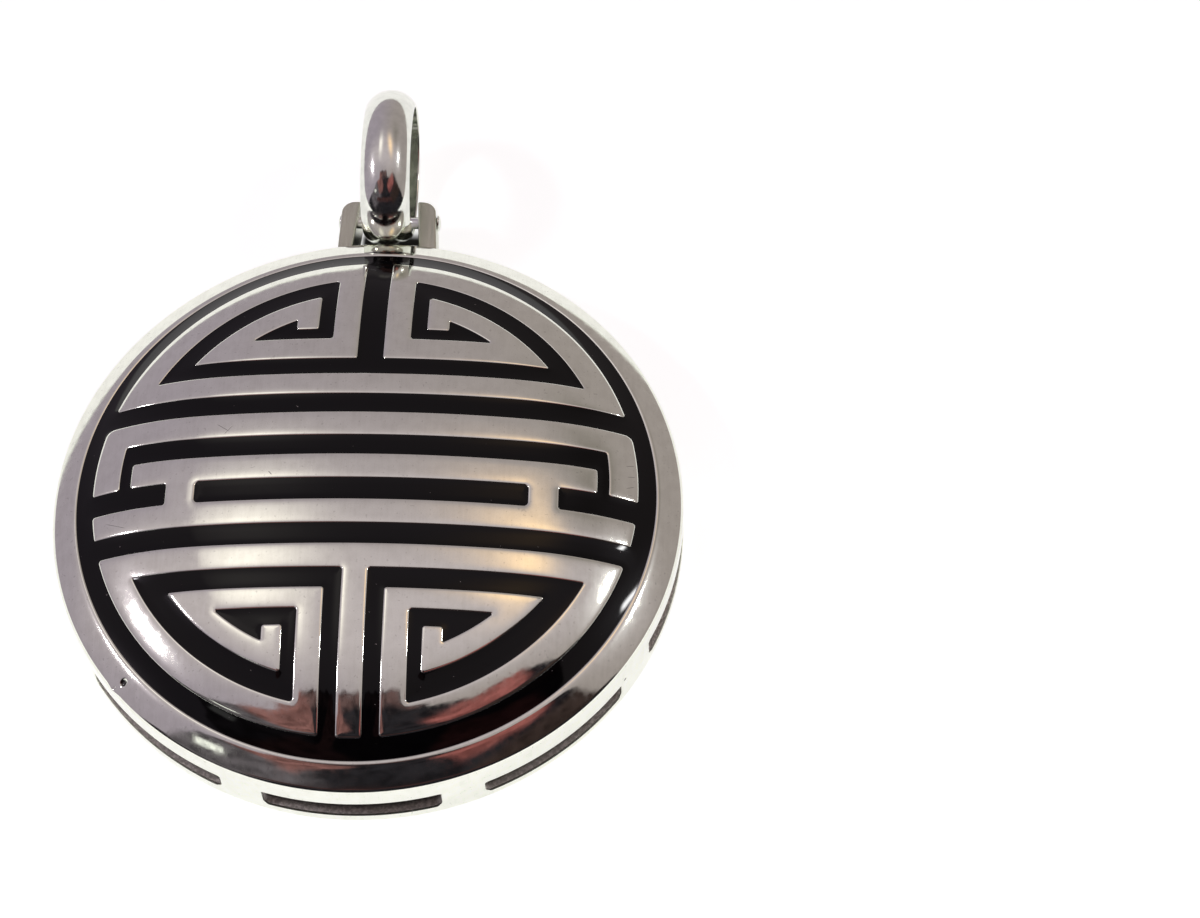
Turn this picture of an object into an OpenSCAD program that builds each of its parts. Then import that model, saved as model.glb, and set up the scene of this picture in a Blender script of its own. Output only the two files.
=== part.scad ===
// Round domed amulet pendant: a hollow silver case with a longevity medallion
// in black enamel, a pierced side band, and an oval bail ring on a hinge pin.
// Millimetres. The origin is the centre of the flat back, +Z points out of the
// front, +Y points to the bail.

/* [Case] */
// Diameter of the case across the side band
case_d = 35.4; // [35:0.1:36]
// Height of the rim's outer edge above the back
rim_z = 3.5; // [3.4:0.05:3.7]
// Height of the crown of the dome above the back
crown_z = 7.9; // [7.7:0.05:8.1]
// Radius of curvature of the dome's middle
crown_r = 65; // [60:1:75]
// Distance from the centre at which the shoulder begins to fall away
crown_reach = 10; // [9:0.5:11]
// Thickness of the domed front, relief included
front_t = 1.25; // [1.15:0.05:1.4]
// Thickness of the side band
band_t = 1.2; // [1:0.05:1.3]
// Thickness of the back plate
back_t = 0.7; // [0.6:0.05:0.75]
// Bevel of the rim's outer edge
rim_bevel = 0.2; // [0.15:0.05:0.3]
// Bevel of the back's edge
foot_bevel = 0.25; // [0.1:0.05:0.3]

/* [Relief] */
// Depth of the enamelled channels below the silver
channel_depth = 0.45; // [0.35:0.05:0.5]
// How far the enamel stays below the silver
enamel_sink = 0.07; // [0.04:0.01:0.12]
// Gap between the enamel and the silver round it
enamel_gap = 0.02; // [0.01:0.01:0.04]
// Outer radius of the ring channel, where the plain rim begins
rim_r = 16.2; // [16.1:0.05:16.3]
// Inner radius of the ring channel, where the medallion ends
medal_r = 15.2; // [15.1:0.05:15.3]

/* [Band slots] */
// Number of slots round the side band
slot_count = 9; // [9:1:9]
// Angle that a slot takes of the band, in degrees
slot_span = 32; // [28:1:33]
// Height of a slot
slot_h = 1.65; // [1.4:0.05:1.7]
// Height of a slot's middle above the back
slot_z = 1.6; // [1.6:0.05:1.75]
// Half the angle that stays solid behind the bail's ears, in degrees
ear_land = 12; // [11:0.5:13]

/* [Bail] */
// Outer length of the oval bail ring, away from the case
bail_l = 10; // [9.95:0.05:10.05]
// Outer height of the oval bail ring, above the floor
bail_h = 8; // [7.95:0.05:8.05]
// Outer radius of the oval's two ends
bail_end_r = 3.5; // [3.48:0.01:3.52]
// Thickness of the ring at its crown
bail_t = 1; // [0.9:0.05:1.05]
// Thickness of the ring at its sides
bail_side_t = 0.2; // [0.18:0.01:0.22]
// Width of the ring
bail_w = 2.9; // [2.6:0.1:3]
// Distance of the ring's middle from the centre of the case
bail_y = 22.8; // [22.78:0.01:22.82]

/* [Ears and pin] */
// Gap between the two ears
ear_gap = 3.5; // [3.4:0.1:3.6]
// Thickness of an ear
ear_t = 1.1; // [0.9:0.05:1.15]
// Distance of the ears' ends from the centre of the case
ear_y = 21.25; // [21.15:0.05:21.35]
// Height of the ears' lower faces above the back
ear_z0 = 0.35; // [0.3:0.05:0.5]
// Height of the ears' upper faces above the back
ear_z1 = 2.9; // [2.9:0.05:3]
// Radius of the ears' outer corners
ear_corner = 0.8; // [0.5:0.05:0.8]
// Diameter of the hinge pin
pin_d = 0.7; // [0.6:0.05:0.7]
// Distance of the pin from the centre of the case
pin_y = 20.05; // [20.03:0.01:20.07]
// Height of the pin above the back
pin_z = 2.35; // [2.33:0.01:2.37]
// Diameter of the pin's riveted heads
pin_head_d = 1; // [0.9:0.05:1]
// Height of the pin's riveted heads
pin_head_h = 0.2; // [0.1:0.02:0.24]

/* [Hidden] */
$fn = 96;
silver = [0.78, 0.76, 0.75];
enamel = [0.03, 0.03, 0.035];

case_r = case_d / 2;
// The shoulder is an arc that leaves the crown's arc smoothly and ends at the rim's edge.
shoulder_turn = asin(crown_reach / crown_r);
shoulder_z = crown_z - crown_r + crown_r * cos(shoulder_turn);
to_edge = [case_r - crown_reach, rim_z - shoulder_z];
shoulder_normal = [sin(shoulder_turn), cos(shoulder_turn)];
shoulder_r = -(to_edge * to_edge) / (2 * to_edge * shoulder_normal);
shoulder_centre = [crown_reach, shoulder_z] - shoulder_r * shoulder_normal;
above = 2 * crown_z;

// Edges of the medallion's bars across the pendant, from the bail's side down.
top_core_y = 8.8;
top_line = [6.3, 7.35];
band_1 = [3.66, 4.9];
band_2 = [0.9, 2.13];
bar_slot = [-1.94, -0.62];
band_5 = [-4.63, -3.41];
low_line = [-7.2, -6.07];
low_core_y = -8.4;

// Upper spirals: half widths of what stands upright, and radii of the arcs.
top_bar_x = 0.73;
top_stroke_x = [2.2, 3.08];
top_hook_x = 4.33;
top_hook_y = 9.5;
top_arc = [12.45, 13.6];
top_core_r = 11.1;

// Lower spirals.
stem_x = 0.7;
low_gap_x = 1.64;
low_stroke_x = [3.04, 3.79];
low_hook_x = 4.9;
low_hook_y = -9.33;
low_arc = [12.52, 13.76];
low_core_r = 11.3;

// The bracket's ends, and the bars between them.
bracket_r = 13.6;
bar_end_r = 12.95;
stub_x = 10.85;
bar_slot_x = 9.2;
bar_slot_corner = 0.25;
// A radius inside the ring channel, up to which the bands run into it.
ring_mid_r = (medal_r + rim_r) / 2;

bail_z = bail_h / 2;
// The oval is two arcs at its ends and two flatter ones between them, each running into the next.
bail_end_y = bail_l / 2 - bail_end_r;
bail_side_r = (pow(bail_end_y, 2) + pow(bail_z, 2) - pow(bail_end_r, 2)) / (2 * (bail_z - bail_end_r));
bail_side_z = bail_side_r - bail_z;
// The ring's outer face is one arc from side to side.
bail_crown_rise = bail_t - bail_side_t;
bail_crown_r = (pow(bail_w / 2, 2) + pow(bail_crown_rise, 2)) / (2 * bail_crown_rise);
ear_x = ear_gap / 2;
ear_outer_x = ear_x + ear_t;
pin_fit = 0.02;
pin_head_r = (pow(pin_head_d / 2, 2) + pow(pin_head_h, 2)) / (2 * pin_head_h);

// A slot's ends are a little wider than its height, and what is over is trimmed off.
slot_end_k = 1.05;
slot_trim = 0.2;
function slot_middle(i) = -90 + i * 360 / slot_count;
function slot_from(i) = slot_middle(i) > 90
    ? max(slot_middle(i) - slot_span / 2, 90 + ear_land)
    : slot_middle(i) - slot_span / 2;
function slot_to(i) = slot_middle(i) < 90
    ? min(slot_middle(i) + slot_span / 2, 90 - ear_land)
    : slot_middle(i) + slot_span / 2;

// A rectangle between two x and two y.
module span(x0, x1, y0, y1) {
    translate([x0, y0]) square([x1 - x0, y1 - y0]);
}

module both_sides() {
    children();
    mirror([1, 0]) children();
}

// The section under the dome's surface, lowered by a drop, out to a radius.
module under_dome(drop, radius) {
    translate([0, -drop]) {
        intersection() {
            translate([0, crown_z - crown_r]) circle(r = crown_r);
            span(0, crown_reach, 0, above);
        }
        intersection() {
            translate(shoulder_centre) circle(r = shoulder_r);
            span(crown_reach, radius, 0, above);
        }
    }
}

module case_section() {
    intersection() {
        under_dome(0, case_r);
        polygon([
            [0, 0], [case_r - foot_bevel, 0], [case_r, foot_bevel],
            [case_r, rim_z - rim_bevel], [case_r - rim_bevel, rim_z + rim_bevel], [0, above],
        ]);
    }
}

module hollow_section() {
    intersection() {
        under_dome(front_t, case_r - band_t);
        span(0, case_r - band_t, back_t, above);
    }
}

module dome(drop) {
    rotate_extrude() under_dome(drop, case_r);
}

// Strokes of one upper spiral, each edge drawn in by a margin.
module top_spiral(m) {
    intersection() {
        difference() {
            circle(r = top_arc[1] - m);
            circle(r = top_arc[0] + m);
        }
        span(top_stroke_x[0] + m, case_r, top_line[0] + m, case_r);
    }
    intersection() {
        circle(r = top_arc[1] - m);
        span(top_stroke_x[0] + m, top_stroke_x[1] - m, top_core_y + m, case_r);
    }
    difference() {
        intersection() {
            circle(r = top_core_r - m);
            span(top_stroke_x[0] + m, case_r, top_core_y + m, case_r);
        }
        span(top_stroke_x[1] - m, top_hook_x + m, top_hook_y - m, case_r);
    }
}

module low_spiral(m) {
    intersection() {
        difference() {
            circle(r = low_arc[1] - m);
            circle(r = low_arc[0] + m);
        }
        span(low_stroke_x[0] + m, case_r, -case_r, low_line[1] - m);
    }
    intersection() {
        circle(r = low_arc[1] - m);
        span(low_stroke_x[0] + m, low_stroke_x[1] - m, -case_r, low_core_y - m);
    }
    difference() {
        intersection() {
            circle(r = low_core_r - m);
            span(low_stroke_x[0] + m, case_r, -case_r, low_core_y - m);
        }
        span(low_stroke_x[1] - m, low_hook_x + m, -case_r, low_hook_y + m);
    }
    intersection() {
        circle(r = low_arc[1] - m);
        span(stem_x + m, case_r, low_line[0] + m, low_line[1] - m);
    }
    intersection() {
        circle(r = ring_mid_r);
        span(stem_x + m, low_gap_x - m, -case_r, low_line[1] - m);
    }
}

// Everything that is black and hangs together, each edge drawn in by a margin.
module field(m) {
    difference() {
        circle(r = rim_r - m);
        circle(r = medal_r + m);
    }
    intersection() {
        circle(r = ring_mid_r);
        union() {
            span(-top_bar_x + m, top_bar_x - m, top_line[0] + m, case_r);
            span(-case_r, case_r, band_1[0] + m, band_1[1] - m);
            span(-case_r, case_r, band_5[0] + m, band_5[1] - m);
            both_sides() span(stub_x + m, case_r, bar_slot[0] + m, bar_slot[1] - m);
        }
    }
    intersection() {
        circle(r = top_arc[1] - m);
        span(-case_r, case_r, top_line[0] + m, top_line[1] - m);
    }
    intersection() {
        circle(r = bracket_r - m);
        span(-case_r, case_r, band_2[0] + m, band_2[1] - m);
    }
    both_sides() intersection() {
        difference() {
            circle(r = bracket_r - m);
            circle(r = bar_end_r + m);
        }
        span(stub_x + m, case_r, bar_slot[0] + m, band_2[1] - m);
    }
    both_sides() top_spiral(m);
    both_sides() low_spiral(m);
}

// The black slot that the two middle bars close in.
module closed_slot(m) {
    x = bar_slot_x - m;
    y0 = bar_slot[0] + m;
    y1 = bar_slot[1] - m;
    c = bar_slot_corner;
    span(-x, x, y0 + c, y1 - c);
    span(-x + c, x - c, y0, y1);
    for (sx = [-1, 1], y = [y0 + c, y1 - c]) translate([sx * (x - c), y]) circle(r = c);
}

module channels() {
    difference() {
        linear_extrude(above) {
            field(0);
            closed_slot(0);
        }
        dome(channel_depth);
    }
}

// One slot through the side band, from one angle to another, with round ends.
module slot(from, to) {
    end_r = slot_h * slot_end_k / 2;
    end_turn = asin(end_r / case_r);
    inner = case_r - 1.5 * band_t;
    half = slot_h / 2 + slot_trim;
    intersection() {
        translate([0, 0, slot_z - slot_h / 2]) cylinder(h = slot_h, r = case_r + 1);
        union() {
            rotate([0, 0, from + end_turn]) rotate_extrude(angle = to - from - 2 * end_turn)
                span(inner, case_r + 0.5, slot_z - half, slot_z + half);
            for (a = [from + end_turn, to - end_turn]) rotate([0, 0, a])
                translate([inner, 0, slot_z]) rotate([45, 0, 0]) rotate([0, 90, 0])
                cylinder(h = 1.5 * band_t + 0.5, r = end_r);
        }
    }
}

module ear() {
    root_y = case_r - band_t * 0.7;
    translate([0, 0, ear_z0]) linear_extrude(ear_z1 - ear_z0) {
        span(ear_x, ear_outer_x, root_y, ear_y - ear_corner);
        span(ear_x, ear_outer_x - ear_corner, root_y, ear_y);
        intersection() {
            translate([ear_outer_x - ear_corner, ear_y - ear_corner]) circle(r = ear_corner);
            span(ear_x, ear_outer_x, ear_y - 2 * ear_corner, ear_y);
        }
    }
}

module case() {
    color(silver) difference() {
        union() {
            rotate_extrude() difference() {
                case_section();
                hollow_section();
            }
            ear();
            mirror([1, 0, 0]) ear();
        }
        channels();
        for (i = [0 : slot_count - 1]) slot(slot_from(i), slot_to(i));
        translate([-case_r, pin_y, pin_z]) rotate([0, 90, 0])
            cylinder(h = case_d, d = pin_d + 2 * pin_fit);
    }
}

// Enamel that fills a flat outline of the channels.
module enamel_fill() {
    color(enamel) intersection() {
        linear_extrude(above) children();
        difference() {
            dome(enamel_sink);
            dome(channel_depth - enamel_gap);
        }
    }
}

module enamel_field() {
    enamel_fill() field(enamel_gap);
}

module enamel_bar() {
    enamel_fill() closed_slot(enamel_gap);
}

// A low round head, its flat side on z = 0.
module pin_head() {
    intersection() {
        translate([0, 0, pin_head_h - pin_head_r]) sphere(r = pin_head_r);
        cylinder(h = pin_head_h, d = pin_head_d);
    }
}

module hinge_pin() {
    half = ear_outer_x + pin_fit;
    color(silver) translate([0, pin_y, pin_z]) rotate([0, 90, 0]) {
        translate([0, 0, -half]) cylinder(h = 2 * half, d = pin_d);
        translate([0, 0, half]) pin_head();
        rotate([180, 0, 0]) translate([0, 0, half]) pin_head();
    }
}

// The ring's section turned all the way round at a radius.
module bail_turn(radius) {
    rotate_extrude() intersection() {
        span(radius - bail_t, radius, -bail_w / 2, bail_w / 2);
        translate([radius - bail_crown_r, 0]) circle(r = bail_crown_r);
    }
}

// A three-cornered prism that is wider than the ring.
module wedge(tip, far_1, far_2) {
    translate([0, 0, -bail_w]) linear_extrude(2 * bail_w) polygon([tip, far_1, far_2]);
}

module bail() {
    // A leg runs along the line through two arcs' centres, where the arcs meet.
    leg = 4 * [bail_end_y, bail_side_z];
    end = [bail_end_y, 0];
    side = [0, -bail_side_z];
    color(silver) translate([0, bail_y, bail_z]) rotate([90, 0, 90]) {
        for (m = [0, 1]) mirror([m, 0, 0]) intersection() {
            translate(end) bail_turn(bail_end_r);
            wedge(end, end + leg, end + [leg[0], -leg[1]]);
        }
        for (m = [0, 1]) mirror([0, m, 0]) intersection() {
            translate(side) bail_turn(bail_side_r);
            wedge(side, side + 1.25 * leg, side + 1.25 * [-leg[0], leg[1]]);
        }
    }
}

case();
enamel_field();
enamel_bar();
hinge_pin();
bail();
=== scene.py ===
"""Looks of a round silver amulet pendant with a longevity medallion in black enamel.

The outlines are drawn in plan, in millimetres, and laid on the dome. Meshes are made in metres.
"""
import math

import bpy
import numpy as np
from mathutils import Matrix, Vector, geometry


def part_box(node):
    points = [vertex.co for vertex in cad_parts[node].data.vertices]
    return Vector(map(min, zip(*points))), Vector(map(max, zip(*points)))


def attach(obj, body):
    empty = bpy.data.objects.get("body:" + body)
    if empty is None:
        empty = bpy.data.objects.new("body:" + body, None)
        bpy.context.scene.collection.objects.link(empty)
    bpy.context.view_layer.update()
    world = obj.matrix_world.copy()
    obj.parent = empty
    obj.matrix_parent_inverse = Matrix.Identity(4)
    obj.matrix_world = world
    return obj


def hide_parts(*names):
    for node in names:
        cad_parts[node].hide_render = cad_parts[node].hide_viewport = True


MM = 0.001
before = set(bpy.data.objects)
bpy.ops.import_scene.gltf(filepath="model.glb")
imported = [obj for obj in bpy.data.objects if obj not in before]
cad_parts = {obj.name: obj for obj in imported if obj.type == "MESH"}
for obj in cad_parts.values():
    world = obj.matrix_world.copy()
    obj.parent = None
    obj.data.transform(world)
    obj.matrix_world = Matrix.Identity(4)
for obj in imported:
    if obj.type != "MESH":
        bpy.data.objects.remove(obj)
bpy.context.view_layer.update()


def box_mm(node):
    """Lowest and highest corner of a node, in millimetres."""
    low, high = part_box(node)
    return np.array(low) / MM, np.array(high) / MM


# Sizes that the frame gives.
_, CASE_HIGH = box_mm("case")
PIN_LOW, PIN_HIGH = box_mm("hinge_pin")
BAIL_LOW, BAIL_HIGH = box_mm("bail")
CASE_R = CASE_HIGH[0]
CROWN_Z = CASE_HIGH[2]
EAR_END_Y = CASE_HIGH[1]
PIN_MIDDLE = (PIN_LOW + PIN_HIGH) / 2
BAIL_MIDDLE = (BAIL_LOW + BAIL_HIGH) / 2

# Dome: curvature of the middle and of the shoulder, and the width of the change between them.
RIM_Z = 3.5
CROWN_CURVE = 1 / 65
SHOULDER_CURVE = 1 / 15.1
SHOULDER_START = 10.0
SHOULDER_BLEND = 0.55
FRONT_T = 1.25
BAND_T = 1.2
BACK_T = 0.7
RIM_ROUND = 0.21
RIM_RINGS = (0.2, 0.4, 0.6, 0.8)
FOOT_ROUND = 0.28
# Radii at which the flat back and the hollow's floor have their rows of points.
BACK_RINGS = (12.0, 6.0, 0.0)
UNDER_ROWS = 24
BAND_ROWS = 9
CHANNEL_DEPTH = 0.45

# Medallion: its radius, the radius where the plain rim begins, and how corners are rounded.
MEDAL_R = 15.2
RIM_R = 16.2
ROUND_STEPS = 360
STEP = 0.3
TIGHT_CORNER = 0.06
PLAIN_CORNER = 0.16
BROAD_CORNER = 0.5
SHARP_TURN = math.radians(110)

# Silver's edge: a tight rounding, and a broad soft one; on the medallion and on the rim.
EDGE_DROP, RIM_EDGE_DROP = 0.032, 0.09
EDGE_WIDTH, RIM_EDGE_WIDTH = 0.036, 0.1
PILLOW_DROP, RIM_PILLOW_DROP = 0.028, 0.03
PILLOW_WIDTH, RIM_PILLOW_WIDTH = 0.65, 0.45
SILVER_RINGS = (0.015, 0.038, 0.08, 0.15, 0.28, 0.45)
# A ring's point goes where another outline is nearer than this share of the ring's distance.
RING_CLEAR = 0.97

# The rim is a little flatter than the dome: its rise above the dome a millimetre outward.
RIM_LIFT = 0.1

# Enamel: it climbs to the silver at its edges, less so at the rim, and is dished between them.
ENAMEL_START = 0.05
ENAMEL_RIM_START = 0.13
ENAMEL_RIM_REACH = 0.6
ENAMEL_DIP = 0.034
ENAMEL_WIDTH = 0.48
ENAMEL_RINGS = (0.05, 0.12, 0.2, 0.3, 0.42)
ENAMEL_T = 0.3
ENAMEL_GAP = 0.004
# The grid of points between the outlines: its step and how far it stays off them.
GRID_STEP = 0.5
GRID_CLEAR = 0.56
ON_EDGE = 1e-4

# Slots in the side band, in degrees round the case and millimetres up it.
SLOT_COUNT = 9
SLOT_SPAN = 32
EAR_LAND = 12
SLOT_TOP_CORNER = 0.16
SLOT_LOW_CORNER = 0.4
SLOT_TOP_STEPS = 6
SLOT_LOW_STEPS = 10
SLOT_RINGS = (0.03, 0.07, 0.13, 0.25)
SLOT_CLEAR = 0.12
# The slots' edges are drawn in a little, and the start of their walls is as bright as the band.
SLOT_ROUND = 0.1
SLOT_SINK = 0.05
SLOT_BRIGHT = 0.07
# The slots' lower and upper edge; some were cut narrower than the rest.
SLOT_EDGES = (0.775, 2.425)
SLOT_OWN_EDGES = {0: (0.78, 2.22), 1: (0.7, 1.9), 8: (0.925, 2.275)}
# One of them ends that many degrees early.
SLOT_SHORTER = {1: 1.3}

# Pits in the rim: place in plan, radius and depth; their rings of points, in radii.
PITS = ((-12.54, -11.49, 0.17, 0.12), (-13.1, -11.66, 0.07, 0.03))
PIT_RINGS = (0, 0.35, 0.6, 0.8, 1.0, 1.2, 1.5, 1.9)
PIT_STEPS = 18
# A small dark mark on the band: place and radius.
BAND_MARK = (14.66, -10.0, 2.2, 0.1)


def normalise(v):
    return v / np.linalg.norm(v, axis=-1, keepdims=True)


def full_turn(count):
    """Angles in equal steps once round."""
    return np.arange(count) * 2 * math.pi / count


# The dome's section: the sine of its slope is the integral of its curvature.
def sine_of_slope(r):
    past = (r - SHOULDER_START) / SHOULDER_BLEND
    bend = SHOULDER_BLEND * np.logaddexp(0, past)
    return r * CROWN_CURVE + bend * (SHOULDER_CURVE - CROWN_CURVE)


SECTION_R = np.linspace(0, CASE_R, 800)
SECTION_SLOPE = np.tan(np.arcsin(np.clip(sine_of_slope(SECTION_R), 0, 0.95)))
SECTION_FALL = np.concatenate([[0], np.cumsum(
    (SECTION_SLOPE[1:] + SECTION_SLOPE[:-1]) / 2 * np.diff(SECTION_R))])
# The fall is scaled a little so that the dome runs from the crown to the rim's edge.
FALL_SCALE = (CROWN_Z - RIM_Z) / SECTION_FALL[-1]


def dome_z(r):
    return CROWN_Z - FALL_SCALE * np.interp(r, SECTION_R, SECTION_FALL)


def dome_slope(r):
    return FALL_SCALE * np.interp(r, SECTION_R, SECTION_SLOPE)


def on_rim(r):
    return r > RIM_R - 0.01


def rim_lift(r):
    """How far the rim lies above the dome, and how fast that grows with the radius."""
    return RIM_LIFT * np.maximum(r - RIM_R, 0), np.where(on_rim(r), RIM_LIFT, 0)


def no_lift(r):
    return np.zeros_like(r), np.zeros_like(r)


# Outlines in plan. Each edge lies at one x, one y or one radius; only the right half is given.
def crossing(one, other, side):
    """Where two edges meet; side is the sign of y where a radius meets an x."""
    at = dict([one, other])
    if "x" in at and "y" in at:
        return at["x"], at["y"]
    if "x" in at:
        return at["x"], side * math.sqrt(at["r"] ** 2 - at["x"] ** 2)
    return math.sqrt(at["r"] ** 2 - at["y"] ** 2), at["y"]


class Edge:
    """A straight stretch or an arc round the centre, run through by its length."""

    def __init__(self, kind, value, start, end):
        self.start, self.end = np.array(start, float), np.array(end, float)
        self.radius = value if kind == "r" else None
        if self.radius:
            self.angles = [math.atan2(p[1], p[0]) for p in (start, end)]
            self.length = abs(self.angles[1] - self.angles[0]) * value
        else:
            self.length = float(np.linalg.norm(self.end - self.start))

    def at(self, s):
        t = s / self.length
        if self.radius:
            a = self.angles[0] + (self.angles[1] - self.angles[0]) * t
            return self.radius * np.array([math.cos(a), math.sin(a)])
        return self.start + (self.end - self.start) * t


def corner_points(before, after, radius, steps=6):
    """A corner between two edges, rounded; returns its points and what it takes of each edge."""
    step = 1e-3
    come = before.end - before.at(before.length - step)
    go = after.at(step) - after.start
    turn = math.acos(np.clip(come @ go / step ** 2, -1, 1))
    if radius is None:
        radius = TIGHT_CORNER if turn > SHARP_TURN else PLAIN_CORNER
    cut = min(radius * math.tan(turn / 2), 0.4 * before.length, 0.4 * after.length)
    a, b, corner = before.at(before.length - cut), after.at(cut), before.end
    # A rational curve with this weight is a circle's arc.
    weight = math.cos(turn / 2)
    points = []
    for i in range(steps + 1):
        t = i / steps
        k0, k1, k2 = (1 - t) ** 2, 2 * t * (1 - t) * weight, t ** 2
        points.append((k0 * a + k1 * corner + k2 * b) / (k0 + k1 + k2))
    return points, cut


def outline(edges, side=1, rounding=()):
    """A closed outline from its right half, which starts and ends on x = 0; counter-clockwise."""
    ends = [(0, e[1] if e[0] == "y" else side * e[1]) for e in (edges[0], edges[-1])]
    corners = [ends[0]] + [crossing(a, b, side) for a, b in zip(edges, edges[1:])] + [ends[1]]
    parts = [Edge(*e, a, b) for e, a, b in zip(edges, corners, corners[1:])]
    rounding = dict(rounding)
    taken = 0
    points = []
    for i, part in enumerate(parts):
        last = i == len(parts) - 1
        fillet, cut = ([part.end], 0) if last else corner_points(part, parts[i + 1], rounding.get(i))
        length = part.length - taken - cut
        count = max(1, math.ceil(length / STEP))
        points += [part.at(taken + length * k / count) for k in range(0 if i == 0 else 1, count)]
        points += fillet
        taken = cut
    right = np.array(points)
    return np.vstack([right, right[-2:0:-1] * (-1, 1)])


def circle(radius, count=ROUND_STEPS):
    a = full_turn(count)
    return radius * np.stack([np.cos(a), np.sin(a)], -1)


TOP_PIECE = outline([
    ("y", 4.9), ("r", MEDAL_R), ("x", 0.73), ("y", 7.35), ("r", 12.45), ("x", 3.08), ("y", 9.5),
    ("x", 4.33), ("r", 11.1), ("y", 8.8), ("x", 2.2), ("r", 13.6), ("y", 6.3)])
SECOND_PIECE = outline([
    ("y", 2.13), ("r", 13.6), ("y", -0.62), ("r", MEDAL_R), ("y", 3.66)],
    rounding={3: BROAD_CORNER})
MIDDLE_PIECE = outline([
    ("y", -3.41), ("r", MEDAL_R), ("y", -1.94), ("x", 10.85), ("y", -0.62), ("r", 12.95), ("y", 0.9)])
LOW_PIECE = outline([
    ("r", MEDAL_R), ("x", 0.7), ("y", -6.07), ("r", 13.76), ("x", 3.04), ("y", -8.4), ("r", 11.3),
    ("x", 4.9), ("y", -9.33), ("x", 3.79), ("r", 12.52), ("y", -7.2), ("x", 1.64), ("r", MEDAL_R),
    ("y", -4.63)], side=-1)
CLOSED_SLOT = outline([("y", -1.94), ("x", 9.2), ("y", -0.62)], rounding={0: 0.25, 1: 0.25})
ISLANDS = (TOP_PIECE, SECOND_PIECE, MIDDLE_PIECE, LOW_PIECE)
HOLES = (CLOSED_SLOT, circle(RIM_R))
# Each outline of the medallion, and whether silver lies inside it or round it.
MEDAL_EDGES = [(loop, True) for loop in ISLANDS] + [(loop, False) for loop in HOLES]
MEDAL_LOOPS = [loop for loop, _ in MEDAL_EDGES]


def inside(loop, points, chunk=4000):
    """Which points lie inside a closed outline."""
    result = np.zeros(len(points), bool)
    near = np.flatnonzero(((points > loop.min(0)) & (points < loop.max(0))).all(1))
    a, b = loop, np.roll(loop, -1, 0)
    rise = np.where(b[:, 1] == a[:, 1], 1, b[:, 1] - a[:, 1])
    for rows in np.array_split(near, len(near) // chunk + 1):
        x, y = points[rows, :1], points[rows, 1:]
        spans = (a[:, 1] > y) != (b[:, 1] > y)
        left = x < (b[:, 0] - a[:, 0]) * (y - a[:, 1]) / rise + a[:, 0]
        result[rows] = (spans & left).sum(1) % 2 == 1
    return result


def is_silver(points):
    silver = np.hypot(*points.T) > RIM_R
    for loop in ISLANDS:
        silver |= inside(loop, points)
    return silver & ~inside(CLOSED_SLOT, points)


def nearest_edge(points, loops, tile=1.0):
    """Distance to the nearest outline, and the unit direction away from it, worked tile by tile."""
    points = np.asarray(points, float)
    a = np.vstack(loops)
    d = np.vstack([np.roll(loop, -1, 0) - loop for loop in loops])
    squared = (d * d).sum(1)
    middle, half = a + d / 2, np.sqrt(squared) / 2
    _, index = np.unique(np.floor(points / tile), axis=0, return_inverse=True)
    order = np.argsort(index.ravel(), kind="stable")
    starts = np.flatnonzero(np.diff(index.ravel()[order])) + 1
    best, away = np.empty(len(points)), np.empty((len(points), 2))
    for rows in np.split(order, starts):
        p = points[rows]
        centre = p.mean(0)
        spread = np.linalg.norm(p - centre, axis=1).max()
        reach = np.linalg.norm(middle - centre, axis=1)
        near = reach - half <= reach.min() + 2 * spread + 1e-9
        t = np.clip(((p[:, None] - a[near]) * d[near]).sum(2) / squared[near], 0, 1)
        gap = p[:, None] - a[near] - t[..., None] * d[near]
        size = (gap * gap).sum(2)
        k = size.argmin(1)
        best[rows] = np.sqrt(size[np.arange(len(k)), k])
        away[rows] = gap[np.arange(len(k)), k]
    return best, away / np.maximum(best, 1e-9)[:, None]


def outward(loop):
    """Unit normals to the right of the way a loop runs, which point out of a counter-clockwise one."""
    along = normalise(np.roll(loop, -1, 0) - loop)
    mean = normalise(along + np.roll(along, 1, 0))
    return np.stack([mean[:, 1], -mean[:, 0]], -1)


def set_on_outline(plan, away, rows, loop, normals):
    """Gives the points that lie on an outline its own normals as their directions."""
    gap = ((plan[rows][:, None, :] - loop) ** 2).sum(2)
    k = gap.argmin(1)
    here = gap[np.arange(len(k)), k] < 1e-6
    away[rows[here]] = normals[k[here]]


def triangulate(points, edges):
    """Points in plan and constrained triangles between them."""
    got = geometry.delaunay_2d_cdt([Vector(p) for p in points], edges, [], 0, 1e-6, False)
    return np.array([tuple(p) for p in got[0]]), np.array(got[2])


class Gathered:
    """Points and fixed edges for one triangulation."""

    def __init__(self):
        self.points, self.edges = [], []

    def add(self, rows):
        self.points.extend(map(tuple, rows))

    def line(self, rows, closed=False):
        first = len(self.points)
        self.add(rows)
        ids = list(range(first, len(self.points)))
        self.edges += list(zip(ids, ids[1:] + ids[:1] if closed else ids[1:]))


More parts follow.
